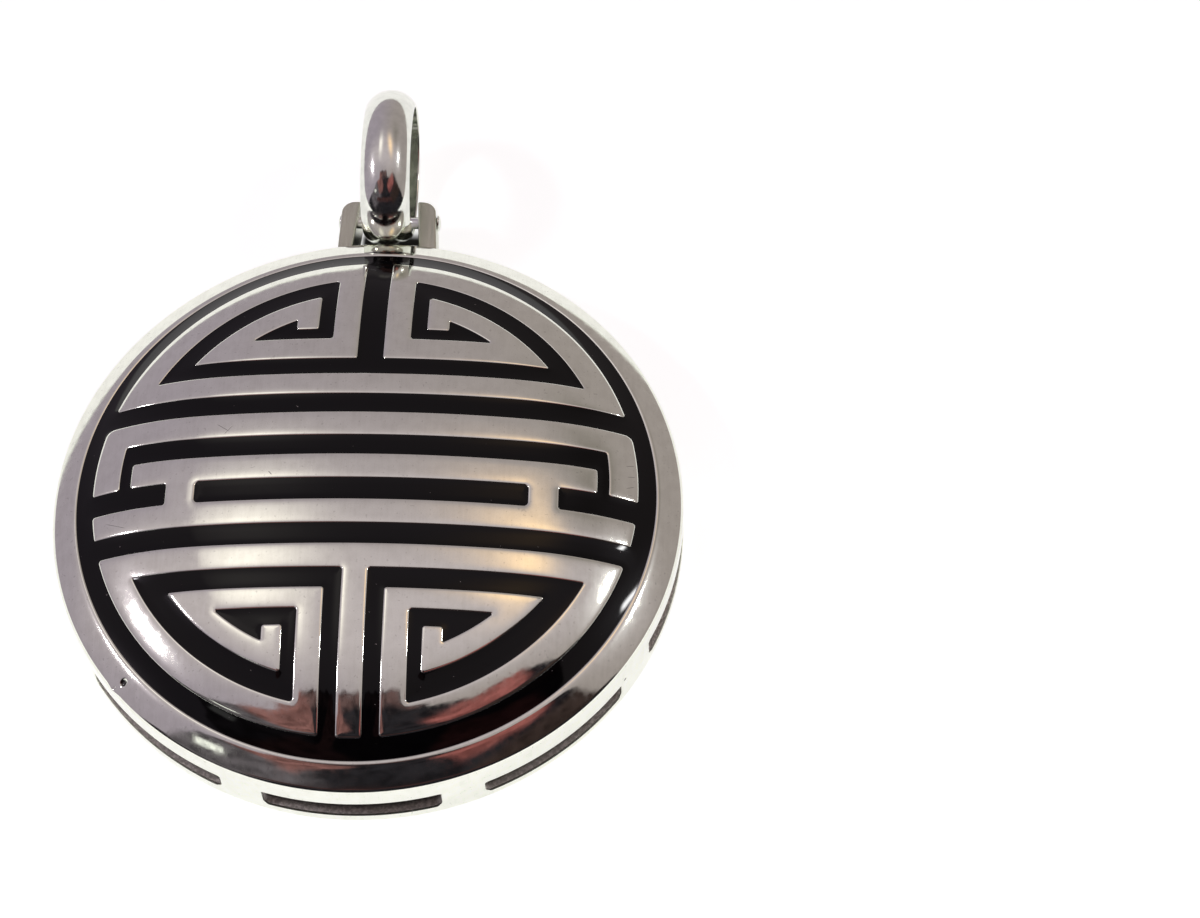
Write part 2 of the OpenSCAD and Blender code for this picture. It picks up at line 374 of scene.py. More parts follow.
class Shell:
    """Faces gathered patch by patch, welded and made into one mesh with its own normals."""

    def __init__(self):
        self.points, self.faces, self.normals, self.slots = [], [], [], []
        self.count = 0

    def add(self, points, faces, normals, slot=0, flip=False):
        normals = np.asarray(normals)
        for f in faces:
            f = [int(j) for j in (f[::-1] if flip else f)]
            self.faces.append([j + self.count for j in f])
            self.normals.append(normals[f])
            self.slots.append(slot)
        self.points.append(np.asarray(points, float))
        self.count += len(points)

    def grid(self, rows, normals, slot=0, flip=False):
        """Quads between closed rows of points of the same count."""
        rows, normals = np.asarray(rows, float), np.asarray(normals, float)
        n = rows.shape[1]
        faces = []
        for i in range(len(rows) - 1):
            for j in range(n):
                k = (j + 1) % n
                faces.append((i * n + j, i * n + k, (i + 1) * n + k, (i + 1) * n + j))
        self.add(rows.reshape(-1, 3), faces, normals.reshape(-1, 3), slot, flip)

    def mesh(self, name, materials):
        points = np.round(np.vstack(self.points), 4)
        unique, index = np.unique(points, axis=0, return_inverse=True)
        index = index.ravel()
        faces, normals, slots = [], [], []
        for f, rows, slot in zip(self.faces, self.normals, self.slots):
            f = [int(index[j]) for j in f]
            kept = [j for j in range(len(f)) if f[j] != f[j - 1]]
            if len(kept) < 3 or len({f[j] for j in kept}) < len(kept):
                continue
            faces.append([f[j] for j in kept])
            normals += [rows[j] for j in kept]
            slots.append(slot)
        piece = mesh_object(name, unique, faces, materials)
        piece.data.polygons.foreach_set("material_index", slots)
        piece.data.normals_split_custom_set([tuple(map(float, n)) for n in normals])
        return piece


def mesh_object(name, points, faces, materials):
    """A smooth-shaded object from points in millimetres."""
    data = bpy.data.meshes.new(name)
    data.from_pydata((np.asarray(points) * MM).tolist(), [], faces)
    for material in materials:
        data.materials.append(material)
    data.polygons.foreach_set("use_smooth", [True] * len(data.polygons))
    piece = bpy.data.objects.new(name, data)
    bpy.context.scene.collection.objects.link(piece)
    return piece


# The front's height and normals.
def silver_edge(d, r):
    """Drop below the dome at a distance from the silver's edge, and the rise a millimetre there."""
    rim = on_rim(r)
    drop = np.where(rim, RIM_PILLOW_DROP, PILLOW_DROP)
    width = np.where(rim, RIM_PILLOW_WIDTH, PILLOW_WIDTH)
    tight_width = np.where(rim, RIM_EDGE_WIDTH, EDGE_WIDTH)
    tight = np.where(rim, RIM_EDGE_DROP, EDGE_DROP) * np.exp(-d / tight_width)
    far = np.clip(1 - d / width, 0, 1)
    return tight + drop * far ** 3, tight / tight_width + 3 * drop / width * far ** 2


def enamel_edge(d, r):
    far = np.clip(1 - d / ENAMEL_WIDTH, 0, 1)
    near_rim = np.clip((r - RIM_R) / ENAMEL_RIM_REACH + 1, 0, 1)
    start = ENAMEL_START + (ENAMEL_RIM_START - ENAMEL_START) * near_rim
    return start + ENAMEL_DIP * (1 - far ** 2), -2 * ENAMEL_DIP / ENAMEL_WIDTH * far


def laid_on_dome(plan, distance, away, edge, lift):
    """Points and normals of a surface on the dome, or a little above it, that drops near an edge."""
    r = np.hypot(*plan.T)
    drop, rise = edge(distance, r)
    lifted, flatter = lift(r)
    z = dome_z(r) + lifted - drop
    fall = dome_slope(r) - flatter
    slope = -fall[:, None] * plan / np.maximum(r, 1e-9)[:, None] + rise[:, None] * away
    for x, y, radius, depth in PITS:
        gap = plan - (x, y)
        near = np.exp(-((gap * gap).sum(1) / radius ** 2) ** 2)
        z = z - depth * near
        steep = 4 * (gap * gap).sum(1) / radius ** 4
        slope = slope + (depth * near * steep)[:, None] * gap
    normals = normalise(np.column_stack([-slope, np.ones(len(plan))]))
    return np.column_stack([plan, z]), normals


def front_plan():
    """The medallion and rim in plan: points, triangles and which triangles are silver."""
    made = Gathered()
    for loop in MEDAL_LOOPS:
        made.line(loop, closed=True)
    for loop, silver_in in MEDAL_EDGES:
        normals = outward(loop) * (1 if silver_in else -1)
        for rings, sign in ((SILVER_RINGS, -1), (ENAMEL_RINGS, 1)):
            for d in rings:
                ring = loop + sign * d * normals
                distance, _ = nearest_edge(ring, MEDAL_LOOPS)
                made.add(ring[distance > d * RING_CLEAR])
    for back in RIM_RINGS:
        made.add(circle(CASE_R - RIM_ROUND - back))
    for x, y, radius, _ in PITS:
        for k in PIT_RINGS:
            made.add(circle(k * radius, PIT_STEPS if k else 1) + (x, y))
    rows = np.arange(-MEDAL_R, MEDAL_R, GRID_STEP * math.sqrt(0.75))
    grid = np.array([(x + (i % 2) * GRID_STEP / 2, y) for i, y in enumerate(rows)
                     for x in np.arange(-MEDAL_R, MEDAL_R, GRID_STEP)])
    grid = grid[np.hypot(*grid.T) < MEDAL_R]
    distance, _ = nearest_edge(grid, MEDAL_LOOPS)
    made.add(grid[distance > GRID_CLEAR])
    made.line(circle(CASE_R - RIM_ROUND), closed=True)
    plan, faces = triangulate(made.points, made.edges)
    return plan, faces, is_silver(plan[faces].mean(1))


def case_front(shell):
    """Adds the silver of the front, its channels and their floor."""
    plan, faces, silver = front_plan()
    distance, away = nearest_edge(plan, MEDAL_LOOPS)
    on_edge = np.flatnonzero(distance < ON_EDGE)
    # On an outline the direction is taken into the silver, from just beside it.
    for loop, silver_in in MEDAL_EDGES:
        set_on_outline(plan, away, on_edge, loop, outward(loop) * (-1 if silver_in else 1))
    points, normals = laid_on_dome(plan, distance, away, silver_edge, rim_lift)
    shell.add(points, faces[silver], normals)
    r = np.hypot(*plan.T)
    floor = np.column_stack([plan, dome_z(r) - CHANNEL_DEPTH])
    tilt = dome_slope(r)[:, None] * plan / np.maximum(r, 1e-9)[:, None]
    shell.add(floor, faces[~silver], normalise(np.column_stack([tilt, np.ones(len(plan))])))
    for loop, silver_in in MEDAL_EDGES:
        r = np.hypot(*loop.T)
        top = dome_z(r) - silver_edge(np.zeros(len(loop)), r)[0]
        across = outward(loop) * (1 if silver_in else -1)
        across = np.column_stack([across, np.zeros(len(loop))])
        rows = [np.column_stack([loop, z]) for z in (top, dome_z(r) - CHANNEL_DEPTH)]
        shell.grid(rows, [across, across], flip=silver_in)
    away[on_edge] *= -1
    return plan, faces[~silver], distance, away


def enamel_piece(name, plan, faces, distance, away, material):
    """One enamel fill: a dished top, a bottom and the side between them."""
    used, faces = np.unique(faces, return_inverse=True)
    faces = faces.reshape(-1, 3)
    plan, distance, away = plan[used], distance[used], away[used]
    edge = distance < ON_EDGE
    plan = np.where(edge[:, None], plan + away * ENAMEL_GAP, plan)
    top, normals = laid_on_dome(plan, distance, away, enamel_edge, no_lift)
    bottom = top - (0, 0, ENAMEL_T)
    shell = Shell()
    shell.add(top, faces, normals)
    shell.add(bottom, faces, -normals, flip=True)
    edges = {(int(a), int(b)) for f in faces for a, b in zip(f, np.roll(f, -1))}
    border = [(a, b) for a, b in edges if (b, a) not in edges]
    for a, b in sorted(border):
        out = np.array([*(-away[a]), 0.0])
        shell.add([top[a], bottom[a], bottom[b], top[b]], [(0, 1, 2, 3)], [out] * 4)
    return shell.mesh(name, [material])


# The band, the back and the hollow.
def turned_rows(shell, section, slot=0, flip=False):
    """Turns a section of (radius, z, normal_r, normal_z) round the axis."""
    a = full_turn(ROUND_STEPS)
    c, s, one = np.cos(a), np.sin(a), np.ones(ROUND_STEPS)
    rows = [np.stack([r * c, r * s, z * one], -1) for r, z, _, _ in section]
    normals = [np.stack([nr * c, nr * s, nz * one], -1) for _, _, nr, nz in section]
    shell.grid(rows, normals, slot, flip)


def between(start, end, length):
    """Points between two others, in equal steps that suit a stretch of this length."""
    start, end = np.array(start), np.array(end)
    count = max(2, round(length / STEP))
    return [tuple(start + (end - start) * k / count) for k in range(1, count)]


def slot_outline(index):
    """A slot unrolled: distance round the case against height."""
    middle = -90 + index * 360 / SLOT_COUNT
    low, high = middle - SLOT_SPAN / 2, middle + SLOT_SPAN / 2 - SLOT_SHORTER.get(index, 0)
    if middle > 90:
        low = max(low, 90 + EAR_LAND)
    elif middle < 90:
        high = min(high, 90 - EAR_LAND)
    u0, u1 = math.radians(low) * CASE_R, math.radians(high) * CASE_R
    z0, z1 = SLOT_OWN_EDGES.get(index, SLOT_EDGES)
    points = []
    for x, z, radius, start in ((u1, z0, SLOT_LOW_CORNER, -90), (u1, z1, SLOT_TOP_CORNER, 0),
                                (u0, z1, SLOT_TOP_CORNER, 90), (u0, z0, SLOT_LOW_CORNER, 180)):
        cx = x - radius if x == u1 else x + radius
        cz = z + radius if z == z0 else z - radius
        steps = SLOT_LOW_STEPS if radius == SLOT_LOW_CORNER else SLOT_TOP_STEPS
        turns = [math.radians(start + 90 * k / steps) for k in range(steps + 1)]
        corner = [(cx + radius * math.cos(t), cz + radius * math.sin(t)) for t in turns]
        if points:
            points += between(points[-1], corner[0], math.dist(points[-1], (cx, cz)))
        points += corner
    points += between(points[-1], points[0], math.dist(points[-1], points[0]))
    return np.array(points)


def band_panel(radius, z0, z1, loops, rings):
    """The band unrolled, with its slots cut out."""
    start = math.radians(-90 - 180 / SLOT_COUNT)
    u = (start + 2 * math.pi / ROUND_STEPS * np.arange(ROUND_STEPS + 1)) * radius
    made = Gathered()
    heights = np.linspace(z0, z1, BAND_ROWS)
    for z in (z0, z1):
        made.line(np.column_stack([u, np.full(len(u), z)]))
    for side in (u[0], u[-1]):
        made.line([(side, z) for z in heights])
    for loop in loops:
        made.line(loop, closed=True)
        for d in rings:
            made.add(loop + d * outward(loop))
    rows = np.array([(a, z) for a in u[::2] for z in heights[1:-1]])
    distance, _ = nearest_edge(rows, loops)
    open_place = np.any([inside(loop, rows) for loop in loops], axis=0)
    clear = (rings[-1] if rings else SLOT_SINK) + SLOT_CLEAR
    made.add(rows[(distance > clear) & ~open_place])
    plan, faces = triangulate(made.points, made.edges)
    middle = plan[faces].mean(1)
    return plan, faces[~np.any([inside(loop, middle) for loop in loops], axis=0)]


def wrapped(plan, radius, depth=0.0):
    """Unrolled points wrapped round the case, sunk by a depth."""
    a = plan[:, 0] / radius
    r = radius - depth
    return np.column_stack([r * np.cos(a), r * np.sin(a), plan[:, 1]])


def band_outside(shell, loops):
    """The band's outer face, drawn in a little round each slot."""
    plan, faces = band_panel(CASE_R, FOOT_ROUND, rim_section()[-1][1], loops, SLOT_RINGS)
    distance, away = nearest_edge(plan, loops)
    for loop in loops:
        set_on_outline(plan, away, np.flatnonzero(distance < ON_EDGE), loop, outward(loop))
    far = np.clip(1 - distance / SLOT_ROUND, 0, 1)
    rise = far[:, None] * away
    a = plan[:, 0] / CASE_R
    c, s = np.cos(a), np.sin(a)
    normals = normalise(np.column_stack([c + rise[:, 0] * s, s - rise[:, 0] * c, -rise[:, 1]]))
    shell.add(wrapped(plan, CASE_R, SLOT_SINK * far ** 2), faces, normals)


def band_inside(shell, loops):
    """The hollow's side and the slots' walls."""
    inner_r = CASE_R - BAND_T
    inner_loops = [loop * (inner_r / CASE_R, 1) for loop in loops]
    plan, faces = band_panel(inner_r, BACK_T, float(dome_z(inner_r)) - FRONT_T, inner_loops, ())
    a = plan[:, 0] / inner_r
    normals = np.column_stack([-np.cos(a), -np.sin(a), np.zeros(len(a))])
    shell.add(wrapped(plan, inner_r), faces, normals, slot=1, flip=True)
    for loop, inner in zip(loops, inner_loops):
        outer_row = wrapped(loop, CASE_R, SLOT_SINK)
        inner_row = wrapped(inner, inner_r)
        out = outward(loop)
        a = loop[:, 0] / CASE_R
        wall = np.column_stack([out[:, 0] * np.sin(a), -out[:, 0] * np.cos(a), -out[:, 1]])
        edge_row = outer_row * (1 - SLOT_BRIGHT) + inner_row * SLOT_BRIGHT
        shell.grid([outer_row, edge_row], [wall, wall])
        shell.grid([edge_row, inner_row], [wall, wall], slot=1)


def rim_section(steps=6):
    """The rounding of the rim's outer edge: radius, z and normal, from the front to the band."""
    r = CASE_R - RIM_ROUND
    lifted, flatter = rim_lift(r)
    start = np.array([r, float(dome_z(r) + lifted)])
    fall = float(dome_slope(r) - flatter)
    corner = np.array([CASE_R, start[1] - RIM_ROUND * fall])
    end = corner - (0, RIM_ROUND)
    section = []
    for i in range(steps + 1):
        t = i / steps
        p = (1 - t) ** 2 * start + 2 * t * (1 - t) * corner + t ** 2 * end
        tangent = normalise((1 - t) * (corner - start) + t * (end - corner))
        section.append((p[0], p[1], -tangent[1], tangent[0]))
    return section


def case_sides(shell):
    """The rim's and the foot's roundings, the back and the faces of the hollow."""
    loops = [slot_outline(i) for i in range(SLOT_COUNT)]
    band_outside(shell, loops)
    band_inside(shell, loops)
    turned_rows(shell, rim_section(), flip=True)
    foot = []
    for t in np.linspace(0, math.pi / 2, 9):
        foot.append((CASE_R - FOOT_ROUND * (1 - math.cos(t)), FOOT_ROUND * (1 - math.sin(t)),
                     math.cos(t), -math.sin(t)))
    turned_rows(shell, foot, flip=True)
    turned_rows(shell, [(r, 0.0, 0.0, -1.0) for r in (CASE_R - FOOT_ROUND, *BACK_RINGS)], flip=True)
    inner_r = CASE_R - BAND_T
    turned_rows(shell, [(r, BACK_T, 0.0, 1.0) for r in (inner_r, *BACK_RINGS)], slot=1)
    under = []
    for r in np.linspace(inner_r, 0, UNDER_ROWS):
        tilt = math.atan(float(dome_slope(r)))
        under.append((r, float(dome_z(r)) - FRONT_T, -math.sin(tilt), -math.cos(tilt)))
    turned_rows(shell, under, slot=1, flip=True)


# Hinge and bail.
EAR_LOW_Z = 0.35
EAR_HIGH_Z = 2.9
EAR_CORNER = 0.75
EAR_EDGE = 0.12
EAR_EDGE_STEPS = 4
EAR_EDGE_ANGLE = math.radians(40)
# How deep the ears' roots sit in the band, as a share of its thickness.
EAR_ROOT = 0.7
# Plan of each ear: inner and outer x at its root and at its end.
EAR_PLANS = {"ear_right": (1.9, 2.98, 1.64, 2.72), "ear_left": (-2.15, -2.98, -1.75, -2.85)}


def ear(name, material):
    """One ear of the hinge, soldered to the band, its outer corner round."""
    root_in, root_out, end_in, end_out = EAR_PLANS[name]
    side = math.copysign(1, root_out)
    root_y = CASE_R - BAND_T * EAR_ROOT
    plan = [(root_in, root_y), (root_out, root_y)]
    for t in np.linspace(0, math.pi / 2, 9):
        y = EAR_END_Y - EAR_CORNER * (1 - math.sin(t))
        out = root_out + (end_out - root_out) * (y - root_y) / (EAR_END_Y - root_y)
        plan.append((out - side * EAR_CORNER * (1 - math.cos(t)), y))
    plan.append((end_in, EAR_END_Y))
    plan = plan[::int(side)]
    n = len(plan)
    points = [(x, y, z) for z in (EAR_LOW_Z, EAR_HIGH_Z) for x, y in plan]
    faces = [tuple(range(n))[::-1], tuple(range(n, 2 * n))]
    faces += [(i, (i + 1) % n, n + (i + 1) % n, n + i) for i in range(n)]
    piece = mesh_object(name, points, faces, [material])
    bevel = piece.modifiers.new("round", "BEVEL")
    bevel.width = EAR_EDGE * MM
    bevel.segments = EAR_EDGE_STEPS
    bevel.limit_method = "ANGLE"
    bevel.angle_limit = EAR_EDGE_ANGLE
    piece.modifiers.new("normals", "WEIGHTED_NORMAL").keep_sharp = True
    return piece


def swept(name, rings, material):
    """A closed ring of sections, each a closed row of points."""
    rings = np.array(rings)
    count, n = rings.shape[:2]
    faces = []
    for j in range(count):
        k = (j + 1) % count
        faces += [(j * n + i, k * n + i, k * n + (i + 1) % n, j * n + (i + 1) % n) for i in range(n)]
    return mesh_object(name, rings.reshape(-1, 3), faces, [material])


# Bail: an oval of two round ends and two flatter sides, of one thickness.
BAIL_END_R = 3.5
BAIL_T = 1.0
BAIL_CROWN_R = 1.68
BAIL_SIDE_R = 0.26
BAIL_INNER_CORNER = 0.09
BAIL_INNER_STEP = 0.03
BAIL_STEPS = 52


def bail_path():
    """Centre, radius and angles of the oval's four arcs, in the plane of Y and Z."""
    half_l = (BAIL_HIGH[1] - BAIL_LOW[1]) / 2
    half_h = (BAIL_HIGH[2] - BAIL_LOW[2]) / 2
    shift = half_l - BAIL_END_R
    side_r = (shift ** 2 + half_h ** 2 - BAIL_END_R ** 2) / (2 * (half_h - BAIL_END_R))
    sink = side_r - half_h
    meet = math.atan2(sink, shift)
    return ((shift, 0, BAIL_END_R, -meet, meet),
            (0, -sink, side_r, meet, math.pi - meet),
            (-shift, 0, BAIL_END_R, math.pi - meet, math.pi + meet),
            (0, sink, side_r, math.pi + meet, 2 * math.pi - meet))


def bail_section():
    """The ring's section as (depth below the crown, x): an arched outside and a flat inside."""
    half = BAIL_HIGH[0]
    turn = math.asin((half - BAIL_SIDE_R) / (BAIL_CROWN_R - BAIL_SIDE_R))
    arch = [(BAIL_CROWN_R * (1 - math.cos(t)), BAIL_CROWN_R * math.sin(t))
            for t in np.linspace(0, turn, 13)]
    depth = BAIL_CROWN_R - (BAIL_CROWN_R - BAIL_SIDE_R) * math.cos(turn)
    arch += [(depth - BAIL_SIDE_R * math.cos(t), half - BAIL_SIDE_R * (1 - math.sin(t)))
             for t in np.linspace(turn, math.pi / 2, 6)[1:]]
    corner = BAIL_INNER_CORNER
    arch += [(BAIL_T - corner * (1 - math.sin(t)), half - corner * (1 - math.cos(t)))
             for t in np.linspace(0, math.pi / 2, 5)]
    arch += [(BAIL_T, half - corner - BAIL_INNER_STEP), (BAIL_T, half / 2), (BAIL_T, 0)]
    mirrored = [(d, -x) for d, x in arch[1:-1]]
    return np.array(arch + mirrored[::-1])


def bail_ring(material):
    """The bail, standing as it does at rest."""
    section = bail_section()
    rings = []
    for y, z, radius, start, end in bail_path():
        for t in np.linspace(start, end, BAIL_STEPS + 1)[:-1]:
            reach = radius - section[:, 0]
            rings.append(np.column_stack([section[:, 1], BAIL_MIDDLE[1] + y + reach * math.cos(t),
                                          BAIL_MIDDLE[2] + z + reach * math.sin(t)]))
    return swept("bail_ring", rings, material)


# Pin: its radius, and its heads' radius, height, straight edge and corner under it.
PIN_R = 0.35
PIN_HEAD_R = 0.5
PIN_HEAD_H = 0.2
PIN_HEAD_EDGE = 0.015
PIN_HEAD_CORNER = 0.02
PIN_TIP_R = 0.001
PIN_STEPS = 48


def pin_rivet(material):
    """The hinge pin with a low round head at each end."""
    half = PIN_HIGH[0]
    flat = half - PIN_HEAD_H
    section = [(PIN_HEAD_R * math.sin(t), half - PIN_HEAD_H * (1 - math.cos(t)))
               for t in np.linspace(0, math.pi / 2, 8)]
    section[0] = (PIN_TIP_R, half)
    under = flat - PIN_HEAD_CORNER
    section += [(PIN_HEAD_R, flat - PIN_HEAD_EDGE), (PIN_HEAD_R - PIN_HEAD_CORNER, under), (PIN_R, under)]
    section = np.array(section + [(r, -x) for r, x in section[::-1]])
    rings = []
    for t in full_turn(PIN_STEPS):
        rings.append(np.column_stack([section[:, 1], PIN_MIDDLE[1] + section[:, 0] * math.cos(t),
                                      PIN_MIDDLE[2] + section[:, 0] * math.sin(t)]))
    return swept("pin_rivet", rings, material)


# Node trees.
class Tree:
    """Short calls for the nodes of a material or world."""

    def __init__(self, owner):
        owner.use_nodes = True
        self.nodes, self.links = owner.node_tree.nodes, owner.node_tree.links

    def node(self, kind, **inputs):
        node = self.nodes.new(kind)
        self.fill(node, **inputs)
        return node

    def fill(self, node, **inputs):
        """Gives a node's sockets constants, or links to other sockets."""
        for name, value in inputs.items():
            self.put(node.inputs[name.replace("_", " ")], value)

    def put(self, socket, value):
        if isinstance(value, bpy.types.NodeSocket):
            self.links.new(value, socket)
        else:
            socket.default_value = value

    def maths(self, operation, a, b=0.0):
        node = self.nodes.new("ShaderNodeMath")
        node.operation = operation
        self.put(node.inputs[0], a)
        self.put(node.inputs[1], b)
        return node.outputs[0]

    def vector(self, operation, *values):
        """A vector node's two outputs: the vector and the value."""
        node = self.nodes.new("ShaderNodeVectorMath")
        node.operation = operation
        for socket, value in zip(node.inputs, values):
            self.put(socket, value)
        return node.outputs[0], node.outputs[1]

    def dot(self, vector, direction):
        return self.vector("DOT_PRODUCT", vector, direction)[1]

    def ramp(self, value, low, high, to_low=0.0, to_high=1.0):
        """A smooth step from one value to another."""
        node = self.nodes.new("ShaderNodeMapRange")
        node.interpolation_type = "SMOOTHSTEP"
        self.put(node.inputs["Value"], value)
        for name, number in (("From Min", low), ("From Max", high),
                             ("To Min", to_low), ("To Max", to_high)):
            node.inputs[name].default_value = number
        return node.outputs["Result"]

    def mix(self, factor, a, b):
        """Colours are tuples of three, or sockets."""
        node = self.nodes.new("ShaderNodeMix")
        node.data_type = "RGBA"
        self.put(node.inputs["Factor"], factor)
        self.put(node.inputs[6], (*a, 1) if isinstance(a, tuple) else a)
        self.put(node.inputs[7], (*b, 1) if isinstance(b, tuple) else b)
        return node.outputs[2]

    def noise(self, vector, scale, detail=2.0, stretch=None):
        if stretch:
            mapping = self.node("ShaderNodeMapping", Vector=vector, Scale=stretch)
            vector = mapping.outputs["Vector"]
        node = self.node("ShaderNodeTexNoise", Vector=vector, Scale=scale, Detail=detail)
        return node.outputs["Fac"]

    def bump(self, height, distance, normal=None):
        node = self.node("ShaderNodeBump", Height=height, Distance=distance, Strength=1.0)
        if normal:
            self.links.new(normal, node.inputs["Normal"])
        return node.outputs["Normal"]


def new_material(name):
    """A material, its tree, its shader and the place on the piece."""
    material = bpy.data.materials.new(name)
    tree = Tree(material)
    place = tree.nodes.new("ShaderNodeTexCoord").outputs["Object"]
    return material, tree, tree.nodes["Principled BSDF"], place


# Fine scratches in the medallion, in millimetres: middle in plan, length, and direction in degrees.
SCRATCHES = (
    (-7.92, 2.75, 1.0, -35), (-7.6, 2.6, 0.8, 50), (-13.6, -2.8, 1.5, -22), (-5.03, -0.3, 0.35, -50),
    (14.72, 1.6, 0.55, 20), (14.8, 0.9, 0.5, 15), (14.75, 0.2, 0.55, 25), (14.7, -0.3, 0.4, 15),
)
SCRATCH_WIDTH = 0.03
SCRATCH_DEPTH = 0.003
# Heights of the waves, grain and lines in the surfaces, in millimetres.
CASE_WAVE = 0.007
BAIL_WAVE = 0.004
ENAMEL_WAVE = 0.006
GRAIN = 0.0009
ROUGH_GRAIN = 0.05
POLISH_LINE = 0.0005
FILE_LINE = 0.006
# The dark in a pit runs out between these two radii, as shares of the pit's own.
PIT_DARK = (1.35, 0.9)
# The two colours that each surface's mottling lies between.
SILVER_TONES = ((0.755, 0.77, 0.69), (0.82, 0.84, 0.755))
BAIL_TONES = ((0.72, 0.74, 0.68), (0.8, 0.82, 0.755))
EAR_TONES = ((0.45, 0.46, 0.38), (0.68, 0.69, 0.58))
DULL_TONES = ((0.5, 0.47, 0.44), (0.85, 0.8, 0.76))
ENAMEL_TONES = ((0.0015, 0.0012, 0.0015), (0.12, 0.11, 0.11))
LINE_COLOUR = (0.86, 0.88, 0.8)
# The colour of the painted shade deep in the slots and the hollow.
SHADE_COLOUR = (0.05, 0.045, 0.045)
# Marks in the case's silver: how strongly each covers it, and its colour.
PEPPER = (0.3, (0.42, 0.42, 0.38))
SCRATCH = (0.75, (0.17, 0.17, 0.16))
PIT = (0.92, (0.03, 0.03, 0.03))


def scratch_mask(tree, place):
    """One where a scratch runs."""
    total = None
    for x, y, length, turn in SCRATCHES:
        c, s = math.cos(math.radians(turn)), math.sin(math.radians(turn))
        along = tree.maths("SUBTRACT", tree.dot(place, (c, s, 0)), (x * c + y * s) * MM)
        across = tree.maths("SUBTRACT", tree.dot(place, (-s, c, 0)), (y * c - x * s) * MM)
        on_line = tree.ramp(tree.maths("ABSOLUTE", across), SCRATCH_WIDTH * MM, 0.0)
        in_reach = tree.ramp(tree.maths("ABSOLUTE", along), length / 2 * MM, length / 4 * MM)
        mask = tree.maths("MULTIPLY", on_line, in_reach)
        total = mask if total is None else tree.maths("MAXIMUM", total, mask)
    return total


def pit_mask(tree, place):
    """One in the rim's pits and on the band's mark."""
    spots = [(x, y, float(dome_z(math.hypot(x, y))), radius) for x, y, radius, _ in PITS] + [BAND_MARK]
    total = 0.0
    for x, y, z, radius in spots:
        _, gap = tree.vector("DISTANCE", place, (x * MM, y * MM, z * MM))
        spot = tree.ramp(gap, *(k * radius * MM for k in PIT_DARK))
        total = tree.maths("MAXIMUM", spot, total)
    return total


def polished_silver():
    """The case's silver: faint mottling, polishing lines, pepper, scratches, pits and slow waves."""
    material, tree, shader, place = new_material("polished_silver")
    mottle = tree.ramp(tree.noise(place, 1400, 4), 0.3, 0.7)
    lines = tree.noise(place, 1000, 3, stretch=(5, 0.5, 0.5))
    pepper = tree.ramp(tree.noise(place, 5200, 1), 0.69, 0.74)
    scratches = scratch_mask(tree, place)
    colour = tree.mix(mottle, *SILVER_TONES)
    colour = tree.mix(tree.ramp(lines, 0.35, 0.65, 0.0, 0.3), colour, LINE_COLOUR)
    for mask, (share, mark) in ((pepper, PEPPER), (scratches, SCRATCH), (pit_mask(tree, place), PIT)):
        colour = tree.mix(tree.maths("MULTIPLY", mask, share), colour, mark)
    gloss = tree.ramp(tree.noise(place, 2600, 3), 0.3, 0.75, 0.05, 0.12)
    normal = tree.bump(tree.noise(place, 260, 2), CASE_WAVE * MM)
    normal = tree.bump(tree.noise(place, 2300, 3), GRAIN * MM, normal)
    normal = tree.bump(lines, POLISH_LINE * MM, normal)
    normal = tree.bump(tree.maths("SUBTRACT", 1.0, scratches), SCRATCH_DEPTH * MM, normal)
    tree.fill(shader, Base_Color=colour, Metallic=1.0, Roughness=gloss, Normal=normal)
    return material


def bail_silver():
    """The bail's and pin's silver, worn a little smoother."""
    material, tree, shader, place = new_material("bail_silver")
    colour = tree.mix(tree.ramp(tree.noise(place, 1800, 4), 0.3, 0.7), *BAIL_TONES)
    gloss = tree.ramp(tree.noise(place, 2600, 3), 0.3, 0.75, 0.07, 0.16)
    normal = tree.bump(tree.noise(place, 500, 2), BAIL_WAVE * MM)
    normal = tree.bump(tree.noise(place, 2600, 3), GRAIN * MM, normal)
    tree.fill(shader, Base_Color=colour, Metallic=1.0, Roughness=gloss, Normal=normal)
    return material


def brushed_silver():
    """The ears' silver, filed and left dull."""
    material, tree, shader, place = new_material("brushed_silver")
    lines = tree.noise(place, 900, 4, stretch=(6, 0.6, 1))
    tree.fill(shader, Base_Color=tree.mix(lines, *EAR_TONES), Metallic=1.0, Roughness=0.27,
              Normal=tree.bump(lines, FILE_LINE * MM))
    return material


# Painted shade: the slots' walls darken between these depths below the band, by this much.
DULL_DEPTHS = (0.2, 0.75)
DULL_SHADE = 0.85


def dull_silver():
    """Unpolished, grainy silver in the slots and the hollow, with painted shade that darkens it inside.
    """
    material, tree, shader, place = new_material("dull_silver")
    grain = tree.noise(place, 5000, 3)
    colour = tree.mix(tree.ramp(grain, 0.35, 0.7), *DULL_TONES)
    squares = [tree.maths("POWER", tree.dot(place, axis), 2) for axis in ((1, 0, 0), (0, 1, 0))]
    reach = tree.maths("SQRT", tree.maths("ADD", *squares))
    # Painted shade: darker with depth into the slots and the hollow.
    shade = tree.ramp(reach, *((CASE_R - depth) * MM for depth in DULL_DEPTHS), 0.0, DULL_SHADE)
    tree.fill(shader, Base_Color=tree.mix(shade, colour, SHADE_COLOUR), Metallic=0.35, Roughness=0.5,
              Normal=tree.bump(grain, ROUGH_GRAIN * MM))
    return material


def black_enamel():
    """Deep black glassy enamel with slow waves and a few specks."""
    material, tree, shader, place = new_material("black_enamel")
    specks = tree.ramp(tree.noise(place, 3800, 1), 0.79, 0.82)
    tree.fill(shader, Base_Color=tree.mix(specks, *ENAMEL_TONES), Roughness=0.05, IOR=1.3,
              Normal=tree.bump(tree.noise(place, 420, 2), ENAMEL_WAVE * MM))
    return material
